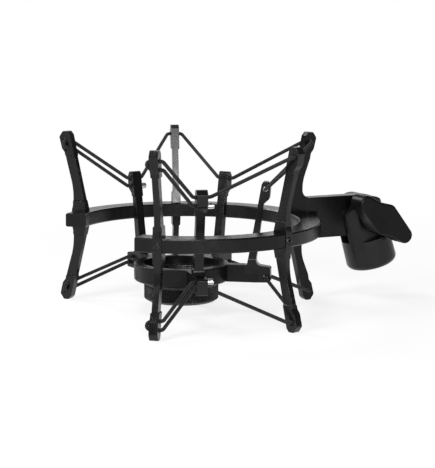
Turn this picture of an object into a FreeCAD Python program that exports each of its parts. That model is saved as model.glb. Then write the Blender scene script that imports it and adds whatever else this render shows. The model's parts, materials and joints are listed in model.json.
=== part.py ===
"""Microphone shock mount: a horseshoe frame whose five posts carry a four-post basket on two elastic cords.

The origin is on the microphone's axis, at the upper mouth of the ring nut's thread.
+Z is up along that axis and +X runs along the arm to the stand adapter.  Lengths are in millimetres.
"""
import FreeCAD, Part
import Sketcher
import math
import os
import re

from FreeCAD import Vector

doc = FreeCAD.newDocument("ShockMount")
sheet = doc.addObject("Spreadsheet::Sheet", "Dimensions")

DRIVING = [
    # the horseshoe frame
    ("frame_level", 24.0, "mid-height of the band above the microphone thread's mouth"),
    ("frame_shift", 4.9, "centre of the band, along the arm from the microphone's axis"),
    ("band_outer_radius", 72.1, "outer face of the band"),
    ("band_width", 12.0, "band, from its inner to its outer face"),
    ("band_height", 7.6, "height of the band"),
    ("band_chamfer", 0.7, "chamfer along the band's four edges"),
    ("band_end_angle", 139.0, "where each end of the band stops, from the arm"),
    ("side_post_angle", 70.8, "middle outer posts, from the arm"),
    ("end_post_angle", 129.3, "outer posts beside the open gap, from the arm"),
    ("lap_depth", 6.0, "depth of the slots that seat the posts, from the band's outer face"),
    ("seat_clearance", 0.05, "gap around a piece that is seated and screwed"),
    # the arm
    ("arm_length", 39.0, "band's outer face to the arm's pivot"),
    ("arm_height", 23.5, "height of the arm plate"),
    ("arm_thickness", 7.0, "thickness of the arm plate"),
    ("arm_taper", 5.0, "length over which the plate thins into its post"),
    ("arm_post_inset", 1.6, "how much nearer the axis the arm's own post stands"),
    ("web_radius", 9.5, "fillet between the band and the arm's sides"),
    ("root_radius", 4.5, "fillet between the arm's edges and its own post"),
    # the outer posts
    ("post_width", 4.8, "width of an outer post across its heads"),
    ("post_relief", 0.7, "how much narrower each side of the shank is"),
    ("post_rise", 49.0, "upper post tip above the band's mid-height"),
    ("post_drop", 47.6, "lower post tip below the band's mid-height"),
    ("boss_stand", 0.4, "post's outer face at the band, outside the band's own"),
    ("waist_inset", 0.3, "post's outer edge above the band, inside the band's outer face"),
    ("shank_inset", 3.4, "post's inner edge above the band, outside the band's inner face"),
    ("tip_stand", 3.0, "inner edge of the tip's flat, outside the band"),
    ("tip_width", 3.0, "flat of a post's tip"),
    ("head_bulge", 2.2, "outermost point of a head, outside the tip's flat"),
    ("neck_stand", 1.3, "outer edge just below the head, outside the tip's inner edge"),
    ("head_length", 12.0, "tip down to the foot of the head's shoulder"),
    ("cord_drop", 5.2, "first cord hole, below the post's tip"),
    ("cord_pitch", 4.4, "second cord hole, below the first"),
    ("cord_lean", 1.2, "second cord hole, nearer the axis than the first"),
    ("cord_inset", 1.2, "first cord hole, inside the outer edge of the tip's flat"),
    ("post_screw_radius", 1.0, "shank of the screws that hold the outer posts"),
    ("post_screw_head", 1.8, "head radius of those screws"),
    ("post_screw_sink", 1.0, "depth of the counterbore under those heads"),
    ("post_thread_depth", 4.6, "their tapped holes, from the bottom of the slots"),
    # the basket
    ("basket_turn", -1.7, "how far the basket hangs turned on its cords"),
    ("ring_outer_radius", 26.1, "basket ring"),
    ("ring_top", 3.9, "upper rim of the basket ring"),
    ("ring_bottom", -5.6, "lower face of the basket ring"),
    ("ring_round", 1.2, "rounding of the ring's outer edges"),
    ("seat_radius", 21.0, "recess that the microphone's base sits in"),
    ("seat_level", 0.8, "floor of that recess"),
    ("clip_bore_radius", 18.6, "counterbore for the retaining ring"),
    ("clip_shelf", -1.4, "shelf under the retaining ring"),
    ("flat_angle", -122.0, "direction of the flat pad on the ring's wall"),
    ("flat_half_width", 6.0, "half the width of that pad"),
    ("middle_stalk_angle", 33.4, "inner posts beside the arm"),
    ("end_stalk_angle", 101.3, "inner posts beside the open gap"),
    ("stalk_width", 6.0, "width of an inner post at its head and foot"),
    ("stalk_relief", 0.6, "how much narrower each side of its shank is"),
    ("stalk_top", 49.8, "top of an inner post"),
    ("stalk_head_reach", 49.0, "outer edge of an inner post's head"),
    ("foot_reach", 49.6, "outer face of an inner post's foot"),
    ("lug_reach", 35.0, "outer end of a ring lug's full height"),
    ("tongue_length", 7.5, "lug's tongue, beyond that end"),
    ("tongue_level", -1.2, "upper face of the tongue"),
    ("foot_screw_inset", 3.8, "screw through the tongue into the foot, from the lug's end"),
    ("foot_screw_radius", 1.2, "its shank"),
    ("foot_screw_head", 2.2, "its head radius"),
    ("foot_screw_sink", 1.7, "depth of the counterbore under its head"),
    ("upper_pass_inset", 2.7, "cord hole in an inner post's head, from the head's outer edge"),
    ("upper_pass_drop", 4.0, "that hole, below the post's top"),
    ("upper_end_inset", 3.3, "hole for the cord's end in a head, from the head's outer edge"),
    ("upper_end_drop", 8.6, "that hole, below the post's top"),
    ("lower_pass_inset", 2.6, "cord hole in an inner post's foot, from the foot's outer face"),
    ("lower_pass_rise", 3.2, "that hole, above the ring's lower face"),
    ("lower_end_inset", 4.4, "hole for the cord's end in a foot, from the foot's outer face"),
    ("lower_end_rise", 6.8, "that hole, above the ring's lower face"),
    # the ring nut
    ("nut_radius", 20.0, "knurled rim of the ring nut"),
    ("nut_bottom", -16.8, "lower face of the ring nut"),
    ("nut_gap", 0.4, "between the basket ring and the nut"),
    ("thread_radius", 13.5, "microphone thread"),
    ("hub_radius", 15.7, "hub of the nut, inside the basket ring"),
    ("hub_clearance", 0.1, "running clearance of the hub"),
    ("clip_thickness", 0.8, "retaining ring"),
    ("clip_radius", 18.2, "outer radius of the retaining ring"),
    ("clip_opening", 5.0, "gap between the retaining ring's ends"),
    # the elastic cords
    ("cord_radius", 1.0, "elastic cord"),
    ("pass_hole_radius", 1.4, "holes that the cord runs through"),
    ("end_hole_radius", 1.15, "holes that hold the cord's ends"),
    ("stop_radius", 1.6, "metal stop on a cord's end"),
    ("stop_length", 3.8, "length of a stop"),
    # the stand adapter and its clamp
    ("adapter_tilt", 16.0, "how far the adapter leans away from the band"),
    ("adapter_radius", 14.7, "body of the adapter"),
    ("adapter_length", 31.0, "pivot down to the adapter's end"),
    ("adapter_round", 3.4, "rounding of its lower edge"),
    ("cheek_radius", 13.8, "top of the cheeks, about the pivot"),
    ("cheek_flat", 11.2, "outer flats of the cheeks, from the middle"),
    ("slot_depth", 13.3, "floor of the slot, below the pivot"),
    ("stand_thread_radius", 7.95, "stand thread"),
    ("stand_thread_depth", 14.0, "depth of the stand thread"),
    ("washer_thickness", 0.5, "friction washers beside the arm"),
    ("washer_radius", 10.0, "friction washers"),
    ("washer_clearance", 0.08, "between a friction washer and the arm"),
    ("bolt_radius", 3.0, "clamp bolt"),
    ("bolt_clearance", 0.08, "radial clearance around the clamp bolt"),
    ("bolt_head_flats", 10.0, "clamp bolt's head, across flats"),
    ("bolt_head_height", 4.0, "height of that head"),
    ("bolt_recess", 1.5, "depth that the head is let into the far cheek"),
    ("bolt_reach", 9.8, "tip of the bolt, beyond the near cheek"),
    ("lever_washer_thickness", 1.2, "plain washer under the lever"),
    ("lever_hub_radius", 7.5, "hub of the clamp lever"),
    ("lever_back", 5.4, "back of the lever's wings, beyond the near cheek"),
    ("lever_depth", 11.4, "thickness of the wings"),
    ("lever_round", 1.4, "rounding of the wings' outer edge"),
    ("insert_radius", 5.0, "threaded insert in the lever"),
]

FOLLOWING = {
    "band_inner_radius": "band_outer_radius - band_width",
    "lap_radius": "band_outer_radius - lap_depth",
    "pivot_reach": "band_outer_radius + arm_length",
    "boss_reach": "band_outer_radius + boss_stand",
    "waist_reach": "band_outer_radius - waist_inset",
    "shank_reach": "band_inner_radius + shank_inset",
    "tip_inner_reach": "band_outer_radius + tip_stand",
    "tip_outer_reach": "tip_inner_reach + tip_width",
    "head_reach": "tip_outer_reach + head_bulge",
    "neck_reach": "tip_inner_reach + neck_stand",
    "cord_reach": "tip_outer_reach - cord_inset",
    "tongue_reach": "lug_reach + tongue_length",
    "foot_screw_reach": "lug_reach + foot_screw_inset",
    "upper_pass_reach": "stalk_head_reach - upper_pass_inset",
    "upper_pass_level": "stalk_top - upper_pass_drop",
    "upper_end_reach": "stalk_head_reach - upper_end_inset",
    "upper_end_level": "stalk_top - upper_end_drop",
    "lower_pass_reach": "foot_reach - lower_pass_inset",
    "lower_pass_level": "ring_bottom + lower_pass_rise",
    "lower_end_reach": "foot_reach - lower_end_inset",
    "lower_end_level": "ring_bottom + lower_end_rise",
    "bolt_end": "cheek_flat + bolt_reach",
    "wing_back": "cheek_flat + lever_back",
}

for row, (alias, number, note) in enumerate(DRIVING, start=1):
    sheet.set("A%d" % row, note)
    sheet.set("B%d" % row, "%g" % number)
    sheet.setAlias("B%d" % row, alias)
doc.recompute()

ALIAS_WORD = re.compile(r"\b[a-z]+(?:_[a-z]+)+\b")


def bound(expression):
    """The expression with each alias written out as a cell, and each following size as its own expression."""
    def cell(word):
        name = word.group(0)
        return "(%s)" % bound(FOLLOWING[name]) if name in FOLLOWING else "Dimensions." + name
    return ALIAS_WORD.sub(cell, str(expression))


def value(expression):
    """The expression's present number."""
    return float(sheet.evalExpression(bound(expression)))


def turned(angle, x=0, y=0, z=0, axis="0; 0; 1"):
    """Expression for a placement: a turn about an axis, then a shift."""
    shift = "vector(%s; %s; %s)" % (bound(x), bound(y), bound(z))
    return "placement(%s; rotation(vector(%s); %s))" % (shift, axis, bound(angle))


def plane(body, role):
    return next(item for item in body.Origin.OriginFeatures if item.Role == role)


def new_body(name, placement=None):
    body = doc.addObject("PartDesign::Body", name)
    body.Label = name
    if placement:
        body.setExpression("Placement", placement)
    return body


def new_sketch(body, name, role, offset=None):
    """A sketch on one of the body's own planes, shifted or turned by an expression."""
    sketch = body.newObject("Sketcher::SketchObject", name)
    sketch.AttachmentSupport = [(plane(body, role), "")]
    sketch.MapMode = "FlatFace"
    if offset:
        sketch.setExpression("AttachmentOffset", offset)
    return sketch


def pin_point(sketch, geometry, position, x, y):
    """Hold one point of the sketch at two expressions."""
    for kind, expression in (("DistanceX", x), ("DistanceY", y)):
        constraint = Sketcher.Constraint(kind, -1, 1, geometry, position, value(expression))
        label = "%s_%d_%d" % (kind, geometry, position)
        sketch.renameConstraint(sketch.addConstraint(constraint), label)
        sketch.setExpression("Constraints." + label, bound(expression))


def pin_radius(sketch, geometry, radius):
    constraint = Sketcher.Constraint("Radius", geometry, value(radius))
    label = "Radius_%d" % geometry
    sketch.renameConstraint(sketch.addConstraint(constraint), label)
    sketch.setExpression("Constraints." + label, bound(radius))


def draw_circle(sketch, radius, x=0, y=0):
    centre = Vector(value(x), value(y), 0)
    geometry = sketch.addGeometry(Part.Circle(centre, Vector(0, 0, 1), value(radius)), False)
    if x == 0 and y == 0:
        sketch.addConstraint(Sketcher.Constraint("Coincident", geometry, 3, -1, 1))
    else:
        pin_point(sketch, geometry, 3, x, y)
    pin_radius(sketch, geometry, radius)


def draw_outline(sketch, corners):
    """A closed outline through corners (x, y) or (x, y, radius), with each radius a tangent arc."""
    spots = [Vector(value(corner[0]), value(corner[1]), 0) for corner in corners]
    count = len(spots)
    arcs = {}
    for i, corner in enumerate(corners):
        if len(corner) == 3:
            arcs[i] = corner_arc(spots[i - 1], spots[i], spots[(i + 1) % count], value(corner[2]))
    lines = []
    for i in range(count):
        after = (i + 1) % count
        start = arcs[i]["leave"] if i in arcs else spots[i]
        end = arcs[after]["meet"] if after in arcs else spots[after]
        lines.append(sketch.addGeometry(Part.LineSegment(start, end), False))
    for i, corner in enumerate(corners):
        before = lines[i - 1]
        if i not in arcs:
            sketch.addConstraint(Sketcher.Constraint("Coincident", before, 2, lines[i], 1))
            pin_point(sketch, lines[i], 1, corner[0], corner[1])
            continue
        arc = sketch.addGeometry(arcs[i]["curve"], False)
        first, last = (1, 2) if arcs[i]["left"] else (2, 1)
        mark = sketch.addGeometry(Part.Point(spots[i]), True)
        pin_point(sketch, mark, 1, corner[0], corner[1])
        sketch.addConstraint(Sketcher.Constraint("PointOnObject", mark, 1, before))
        sketch.addConstraint(Sketcher.Constraint("PointOnObject", mark, 1, lines[i]))
        sketch.addConstraint(Sketcher.Constraint("Tangent", before, 2, arc, first))
        sketch.addConstraint(Sketcher.Constraint("Tangent", arc, last, lines[i], 1))
        pin_radius(sketch, arc, corner[2])


def corner_arc(before, corner, after, radius):
    """The arc that rounds a corner, with the points where it meets the two lines."""
    back = (before - corner).normalize()
    ahead = (after - corner).normalize()
    half = back.getAngle(ahead) / 2
    reach = radius / math.tan(half)
    centre = corner + (back + ahead).normalize() * (radius / math.sin(half))
    meet = corner + back * reach
    leave = corner + ahead * reach
    left = (corner - before).cross(after - corner).z > 0
    first, last = (meet, leave) if left else (leave, meet)
    start = math.atan2(first.y - centre.y, first.x - centre.x)
    end = math.atan2(last.y - centre.y, last.x - centre.x)
    curve = Part.ArcOfCircle(Part.Circle(centre, Vector(0, 0, 1), radius), start, end)
    return {"meet": meet, "leave": leave, "left": left, "curve": curve}


def extrude(body, kind, sketch, length, symmetric=True, reversed_way=False):
    """A Pad or a Pocket of the sketch."""
    feature = body.newObject("PartDesign::" + kind, sketch.Name + "_" + kind.lower())
    feature.Profile = sketch
    feature.Type = "Length"
    feature.SideType = "Symmetric" if symmetric else "One side"
    feature.Reversed = reversed_way
    feature.setExpression("Length", bound(length))
    body.Tip = feature
    return feature


def spin(body, kind, sketch):
    """A Revolution or a Groove of the sketch about its upright axis."""
    feature = body.newObject("PartDesign::" + kind, sketch.Name + "_turned")
    feature.Profile = sketch
    feature.ReferenceAxis = (sketch, ["V_Axis"])
    feature.Angle = 360
    body.Tip = feature
    return feature


def polar(radius, angle):
    """Expressions for a point at a radius and an angle."""
    return "(%s) * cos(%s)" % (radius, angle), "(%s) * sin(%s)" % (radius, angle)


FAR = 200

# The horseshoe frame: band, arm and the post that stands on the arm


def post_side(sign, length, foot):
    """Outer edge of one half of a post: its foot's corners, then neck and head out to the tip."""
    level = "%s * (%s - %%s)" % (sign, length)
    return foot + [
        ("neck_reach", level % "(head_length + 3)", 4),
        ("neck_reach + 0.5", level % "head_length", 1.5),
        ("head_reach - 1.6", level % "(head_length - 2.3)", 2),
        ("head_reach", level % "3.2", 1.6),
        ("tip_outer_reach", level % "0", 0.8),
        ("tip_inner_reach", level % "0", 0.8),
        ("tip_inner_reach - 1.6", level % "1.8", 0.8),
    ]


def band_foot(sign):
    """The post's outer edge where it crosses the band's face and rises from it."""
    return [
        ("boss_reach", "%s * (band_height / 2 + 0.6)" % sign),
        ("waist_reach", "%s * (band_height / 2 + 3.4)" % sign, 3),
        ("waist_reach", "%s * (band_height / 2 + 13)" % sign, 40),
    ]


def arm_foot(sign):
    """The post's outer edge where it rises from the arm's edge with a fillet."""
    edge = "%s * (arm_height / 2)" % sign
    return [
        ("waist_reach + root_radius + arm_taper", edge),
        ("waist_reach", edge, "root_radius"),
        ("waist_reach", "%s * (arm_height / 2 + root_radius + 5)" % sign, 22),
    ]


def post_outline(foot, inner, inset="0"):
    """The whole side view of a post, as upper half, lower half and the given inner edge."""
    upper = post_side("1", "post_rise", foot("1"))
    lower = post_side("-1", "post_drop", foot("-1"))
    outline = (upper + inner + lower[::-1])[::-1]
    return [("%s - %s" % (corner[0], inset),) + corner[1:] for corner in outline]


def post_holes(body, name, doubled, inset="0"):
    """The cord holes through both heads."""
    sketch = new_sketch(body, name, "XZ_Plane")
    reach = "cord_reach - " + inset
    for sign, length in (("1", "post_rise"), ("-1", "post_drop")):
        draw_circle(sketch, "pass_hole_radius", reach, "%s * (%s - cord_drop)" % (sign, length))
        if doubled:
            draw_circle(sketch, "pass_hole_radius", reach + " - cord_lean",
                        "%s * (%s - cord_drop - cord_pitch)" % (sign, length))
    extrude(body, "Pocket", sketch, "post_width + 2")


def build_frame():
    body = new_body("horseshoe_frame", turned(0, "frame_shift", 0, "frame_level"))
    band = new_sketch(body, "band_section", "XZ_Plane")
    half = "band_height / 2"
    draw_outline(band, [
        ("band_inner_radius + band_chamfer", "-(%s)" % half),
        ("band_outer_radius - band_chamfer", "-(%s)" % half),
        ("band_outer_radius", "band_chamfer - %s" % half),
        ("band_outer_radius", "%s - band_chamfer" % half),
        ("band_outer_radius - band_chamfer", half),
        ("band_inner_radius + band_chamfer", half),
        ("band_inner_radius", "%s - band_chamfer" % half),
        ("band_inner_radius", "band_chamfer - %s" % half),
    ])
    spin(body, "Revolution", band)

    gap = new_sketch(body, "open_gap", "XY_Plane")
    far_x, far_y = polar(FAR, "band_end_angle")
    draw_outline(gap, [(0, 0), (far_x, far_y), (-FAR, far_y), (-FAR, "-(%s)" % far_y), (far_x, "-(%s)" % far_y)])
    extrude(body, "Pocket", gap, "band_height + 2")

    half = "arm_thickness / 2"
    across = "(%s + web_radius)" % half
    along = "sqrt((band_outer_radius + web_radius)^2 - %s^2)" % across
    share = "(band_outer_radius / (band_outer_radius + web_radius))"
    web = new_sketch(body, "webs", "XY_Plane")
    webs_outline(web, half, across, along, share)
    extrude(body, "Pad", web, "band_height")

    arm = new_sketch(body, "arm_plate", "XY_Plane")
    root = "waist_reach - arm_post_inset - 1"
    narrow = "post_width / 2"
    draw_outline(arm, [
        (root, "-(%s)" % narrow),
        ("%s + arm_taper" % root, "-(%s)" % half, "arm_taper"),
        ("pivot_reach", "-(%s)" % half),
        ("pivot_reach", half),
        ("%s + arm_taper" % root, half, "arm_taper"),
        (root, narrow),
    ])
    extrude(body, "Pad", arm, "arm_height")
    nose = new_sketch(body, "arm_nose", "XZ_Plane")
    draw_circle(nose, "arm_height / 2", "pivot_reach", 0)
    extrude(body, "Pad", nose, "arm_thickness")

    post = new_sketch(body, "arm_post", "XZ_Plane")
    draw_outline(post, post_outline(arm_foot, [
        ("shank_reach", "band_height / 2 + 0.1"),
        ("shank_reach", "-(band_height / 2 + 0.1)"),
    ], "arm_post_inset"))
    extrude(body, "Pad", post, "post_width")
    post_holes(body, "arm_post_holes", False, "arm_post_inset")

    eye = new_sketch(body, "pivot_eye", "XZ_Plane")
    draw_circle(eye, "bolt_radius + bolt_clearance", "pivot_reach", 0)
    extrude(body, "Pocket", eye, "arm_thickness + 2")

    for name, angle in OUTER_POSTS:
        seat_slot(body, name, angle)
    return body


def webs_outline(sketch, half, across, along, share):
    """The fillets between band and arm, drawn as one outline with two hollow arcs."""
    x_band, y_band = "%s * %s" % (along, share), "%s * %s" % (across, share)
    corners = [
        (x_band, "-(%s)" % y_band),
        (along, "-(%s)" % half),
        (along, half),
        (x_band, y_band),
    ]
    spots = [Vector(value(x), value(y), 0) for x, y in corners]
    centre = Vector(value(along), value(across), 0)
    radius = value("web_radius")
    pieces = []
    for start, end, middle in ((spots[0], spots[1], Vector(centre.x, -centre.y, 0)), (spots[2], spots[3], centre)):
        first = math.atan2(end.y - middle.y, end.x - middle.x)
        last = math.atan2(start.y - middle.y, start.x - middle.x)
        pieces.append((Part.Circle(middle, Vector(0, 0, 1), radius), first, last))
    low = sketch.addGeometry(Part.ArcOfCircle(*pieces[0]), False)
    tip = sketch.addGeometry(Part.LineSegment(spots[1], spots[2]), False)
    high = sketch.addGeometry(Part.ArcOfCircle(*pieces[1]), False)
    chord = sketch.addGeometry(Part.LineSegment(spots[3], spots[0]), False)
    for first, last in (((low, 1), (tip, 1)), ((tip, 2), (high, 2)), ((high, 1), (chord, 1)), ((chord, 2), (low, 2))):
        sketch.addConstraint(Sketcher.Constraint("Coincident", first[0], first[1], last[0], last[1]))
    pin_point(sketch, tip, 1, *corners[1])
    pin_point(sketch, tip, 2, *corners[2])
    pin_point(sketch, chord, 1, *corners[3])
    pin_point(sketch, chord, 2, *corners[0])
    pin_radius(sketch, low, "web_radius")
    pin_radius(sketch, high, "web_radius")


def seat_slot(body, name, angle):
    """The slot that seats a post, and the tapped hole behind it."""
    slot = new_sketch(body, name + "_slot", "XY_Plane", turned(angle))
    wide = "post_width / 2 + seat_clearance"
    draw_outline(slot, [
        ("lap_radius", "-(%s)" % wide),
        ("band_outer_radius + 2", "-(%s)" % wide),
        ("band_outer_radius + 2", wide),
        ("lap_radius", wide),
    ])
    extrude(body, "Pocket", slot, "band_height + 2")
    bottom = "(lap_radius - post_thread_depth)"
    tapped = new_sketch(body, name + "_tapped", "YZ_Plane",
                        turned(angle, "%s * sin(%s)" % (bottom, angle), 0, "%s * cos(%s)" % (bottom, angle),
                               axis="0; 1; 0"))
    draw_circle(tapped, "post_screw_radius + seat_clearance")
    extrude(body, "Pocket", tapped, "post_thread_depth + 2", False, True)


# The four outer posts that are screwed into the band

OUTER_POSTS = [
    ("outer_post_rear_end", "end_post_angle"),
    ("outer_post_rear_side", "side_post_angle"),
    ("outer_post_front_side", "-side_post_angle"),
    ("outer_post_front_end", "-end_post_angle"),
]


def build_outer_post(name, angle):
    body = new_body(name, turned(angle, "frame_shift", 0, "frame_level"))
    profile = new_sketch(body, name + "_profile", "XZ_Plane")
    seat = "band_height / 2 + seat_clearance"
    deep = "lap_radius + seat_clearance"
    draw_outline(profile, post_outline(band_foot, [
        ("shank_reach", seat),
        (deep, seat),
        (deep, "-(%s)" % seat),
        ("shank_reach", "-(%s)" % seat),
    ]))
    extrude(body, "Pad", profile, "post_width")
    shank_relief(body, name, "post_width", "post_relief", [
        ("1", "band_height / 2 + 5", "post_rise - head_length - 1"),
        ("-1", "band_height / 2 + 5", "post_drop - head_length - 1"),
    ])
    post_holes(body, name + "_holes", "end" in name)
    screw = new_sketch(body, name + "_screw_hole", "YZ_Plane")
    draw_circle(screw, "post_screw_radius + 0.15")
    extrude(body, "Pocket", screw, "boss_reach + 2", False, True)
    pocket = new_sketch(body, name + "_screw_seat", "YZ_Plane",
                        "placement(vector(0; 0; %s); rotation(vector(0; 0; 1); 0))"
                        % bound("boss_reach - post_screw_sink"))
    draw_circle(pocket, "post_screw_head + 0.1")
    extrude(body, "Pocket", pocket, "post_screw_sink + 2", False, True)
    return body


def shank_relief(body, name, width, relief, stretches):
    """Shallow pockets that make the shank narrower than the head and the foot."""
    sketch = new_sketch(body, name + "_relief", "YZ_Plane")
    for side in ("1", "-1"):
        for sign, low, high in stretches:
            inner = "%s * (%s / 2 - %s)" % (side, width, relief)
            outer = "%s * (%s / 2 + 1)" % (side, width)
            draw_outline(sketch, [
                (inner, "%s * (%s + 1.2)" % (sign, low)),
                (outer, "%s * (%s)" % (sign, low)),
                (outer, "%s * (%s)" % (sign, high)),
                (inner, "%s * (%s - 1.2)" % (sign, high)),
            ])
    extrude(body, "Pocket", sketch, FAR)


# Screws, each turned from one profile with a hexagon socket


def build_screw(name, placement, head_radius, head_height, shank_radius, length):
    """A cheese-head screw: its head's underside is at the body's origin and its shank runs down."""
    body = new_body(name, placement)
    profile = new_sketch(body, name + "_profile", "XZ_Plane")
    draw_outline(profile, [
        (0, head_height),
        ("%s - 0.3" % head_radius, head_height),
        (head_radius, "%s - 0.3" % head_height),
        (head_radius, 0),
        (shank_radius, 0),
        (shank_radius, "0.4 - (%s)" % length),
        ("%s - 0.4" % shank_radius, "-(%s)" % length),
        (0, "-(%s)" % length),
    ])
    spin(body, "Revolution", profile)
    socket = new_sketch(body, name + "_socket", "XY_Plane",
                        "placement(vector(0; 0; %s); rotation(vector(0; 0; 1); 0))" % bound(head_height))
    reach = "(0.5 * %s)" % head_radius
    draw_outline(socket, [polar(reach, 60 * i) for i in range(6)])
    extrude(body, "Pocket", socket, "0.6 * %s" % head_height, False)
    return body


def group(name, members):
    gathered = doc.addObject("Part::Compound", name)
    gathered.Label = name
    gathered.Links = members
    return gathered


def build_post_screws():
    screws = []
    for number, (name, angle) in enumerate(OUTER_POSTS, start=1):
        x, y = polar("boss_reach - post_screw_sink", angle)
        placement = "placement(vector(%s; %s; %s); rotation(vector(0; 0; 1); %s) * rotation(vector(0; 1; 0); 90))" % (
            bound("frame_shift + " + x), bound(y), bound("frame_level"), bound(angle))
        screws.append(build_screw("post_screw_%d" % number, placement,
                                  "post_screw_head", 1.3,
                                  "post_screw_radius", "boss_reach - lap_radius + post_thread_depth - 1.6"))
    return group("post_screws", screws)


# The basket: ring, inner posts and the screws between them

INNER_POSTS = [
    ("inner_post_rear_end", "(basket_turn + end_stalk_angle)"),
    ("inner_post_rear_side", "(basket_turn + middle_stalk_angle)"),
    ("inner_post_front_side", "(basket_turn - middle_stalk_angle)"),
    ("inner_post_front_end", "(basket_turn - end_stalk_angle)"),
]
REAR_END, REAR_SIDE, FRONT_SIDE, FRONT_END = [angle for name, angle in INNER_POSTS]


def build_basket_ring():
    body = new_body("basket_ring")
    profile = new_sketch(body, "ring_profile", "XZ_Plane")
    draw_outline(profile, [
        ("hub_radius + hub_clearance", "ring_bottom"),
        ("ring_outer_radius", "ring_bottom", "ring_round"),
        ("ring_outer_radius", "ring_top", "ring_round * 0.6"),
        ("seat_radius", "ring_top"),
        ("seat_radius", "seat_level"),
        ("clip_bore_radius", "seat_level"),
        ("clip_bore_radius", "clip_shelf"),
        ("hub_radius + hub_clearance", "clip_shelf"),
    ])
    spin(body, "Revolution", profile)

    flat = new_sketch(body, "ring_flat", "XY_Plane", turned("basket_turn + flat_angle"))
    depth = "sqrt(ring_outer_radius^2 - flat_half_width^2)"
    draw_outline(flat, [
        (depth, "-flat_half_width"),
        ("ring_outer_radius + 2", "-flat_half_width"),
        ("ring_outer_radius + 2", "flat_half_width"),
        (depth, "flat_half_width"),
    ])
    extrude(body, "Pocket", flat, FAR)

    for name, angle in INNER_POSTS:
        lug = new_sketch(body, name + "_lug", "XZ_Plane", turned(angle, axis="0; 1; 0"))
        inside = "seat_radius + 1.5"
        draw_outline(lug, [
            (inside, "ring_bottom"),
            ("tongue_reach", "ring_bottom"),
            ("tongue_reach", "tongue_level"),
            ("lug_reach", "tongue_level"),
            ("lug_reach", "ring_top"),
            (inside, "ring_top"),
        ])
        extrude(body, "Pad", lug, "stalk_width")
        x, y = polar("foot_screw_reach", angle)
        hole = new_sketch(body, name + "_lug_hole", "XY_Plane")
        draw_circle(hole, "foot_screw_radius + 0.15", x, y)
        extrude(body, "Pocket", hole, FAR)
        counterbore = new_sketch(body, name + "_counterbore", "XY_Plane",
                                 "placement(vector(0; 0; %s); rotation(vector(0; 0; 1); 0))"
                                 % bound("ring_bottom + foot_screw_sink"))
        draw_circle(counterbore, "foot_screw_head + 0.15", x, y)
        extrude(body, "Pocket", counterbore, "foot_screw_sink + 2", False)
    return body


def build_inner_post(name, angle):
    body = new_body(name, turned(angle))
    profile = new_sketch(body, name + "_profile", "XZ_Plane")
    rest = "tongue_level + seat_clearance"
    draw_outline(profile, [
        ("lug_reach + seat_clearance", rest),
        ("lug_reach + seat_clearance", "ring_top"),
        ("lug_reach + 1.6", "ring_top"),
        ("stalk_head_reach - 4.8", "stalk_top - 1.4"),
        ("stalk_head_reach - 4", "stalk_top"),
        ("stalk_head_reach - 1.6", "stalk_top", 0.8),
        ("stalk_head_reach", "stalk_top - 2.6", 1.2),
        ("stalk_head_reach - 0.5", "stalk_top - 9.4", 2.5),
        ("stalk_head_reach - 3.7", "stalk_top - 12.2", 1),
        ("lug_reach + 6.3", "ring_top + 0.2", 3),
        ("foot_reach", "ring_top - 0.9", 1.2),
        ("foot_reach", "ring_bottom + 0.2", 1),
        ("tongue_reach + seat_clearance", "ring_bottom"),
        ("tongue_reach + seat_clearance", rest),
    ][::-1])
    extrude(body, "Pad", profile, "stalk_width")
    shank_relief(body, name, "stalk_width", "stalk_relief", [("1", "ring_top + 2.2", "stalk_top - 13")])

    holes = new_sketch(body, name + "_pass_holes", "XZ_Plane")
    draw_circle(holes, "pass_hole_radius", "upper_pass_reach", "upper_pass_level")
    draw_circle(holes, "pass_hole_radius", "lower_pass_reach", "lower_pass_level")
    if "end" in name:
        draw_circle(holes, "end_hole_radius", "upper_end_reach", "upper_end_level")
        draw_circle(holes, "end_hole_radius", "lower_end_reach", "lower_end_level")
    extrude(body, "Pocket", holes, "stalk_width + 2")

    screw = new_sketch(body, name + "_foot_screw_hole", "XY_Plane")
    draw_circle(screw, "foot_screw_radius + seat_clearance", "foot_screw_reach", 0)
    extrude(body, "Pocket", screw, "2 * (ring_top + 1)")
    return body


def build_foot_screws():
    screws = []
    for number, (name, angle) in enumerate(INNER_POSTS, start=1):
        x, y = polar("foot_screw_reach", angle)
        placement = "placement(vector(%s; %s; %s); rotation(vector(1; 0; 0); 180))" % (
            bound(x), bound(y), bound("ring_bottom + foot_screw_sink"))
        screws.append(build_screw("foot_screw_%d" % number, placement,
                                  "foot_screw_head", 1.5, "foot_screw_radius",
                                  "ring_top + 0.5 - ring_bottom - foot_screw_sink"))
    return group("foot_screws", screws)


# The ring nut and the ring that keeps it on the basket


def build_ring_nut():
    body = new_body("ring_nut")
    profile = new_sketch(body, "nut_profile", "XZ_Plane")
    top = "ring_bottom - nut_gap"
    groove = "hub_radius - 0.8"
    draw_outline(profile, [
        ("thread_radius + 0.6", "nut_bottom"),
        ("nut_radius - 1.2", "nut_bottom"),
        ("nut_radius", "nut_bottom + 1.2"),
        ("nut_radius", "%s - 0.9" % top),
        ("nut_radius - 0.9", top),
        ("hub_radius", top),
        ("hub_radius", "clip_shelf + 0.25"),
        (groove, "clip_shelf + 0.25"),
        (groove, "clip_shelf + 0.35 + clip_thickness"),
        ("hub_radius", "clip_shelf + 0.35 + clip_thickness"),
        ("hub_radius", 0),
        ("thread_radius", 0),
        ("thread_radius", "nut_bottom + 0.6"),
    ])
    spin(body, "Revolution", profile)
    return body


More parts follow.
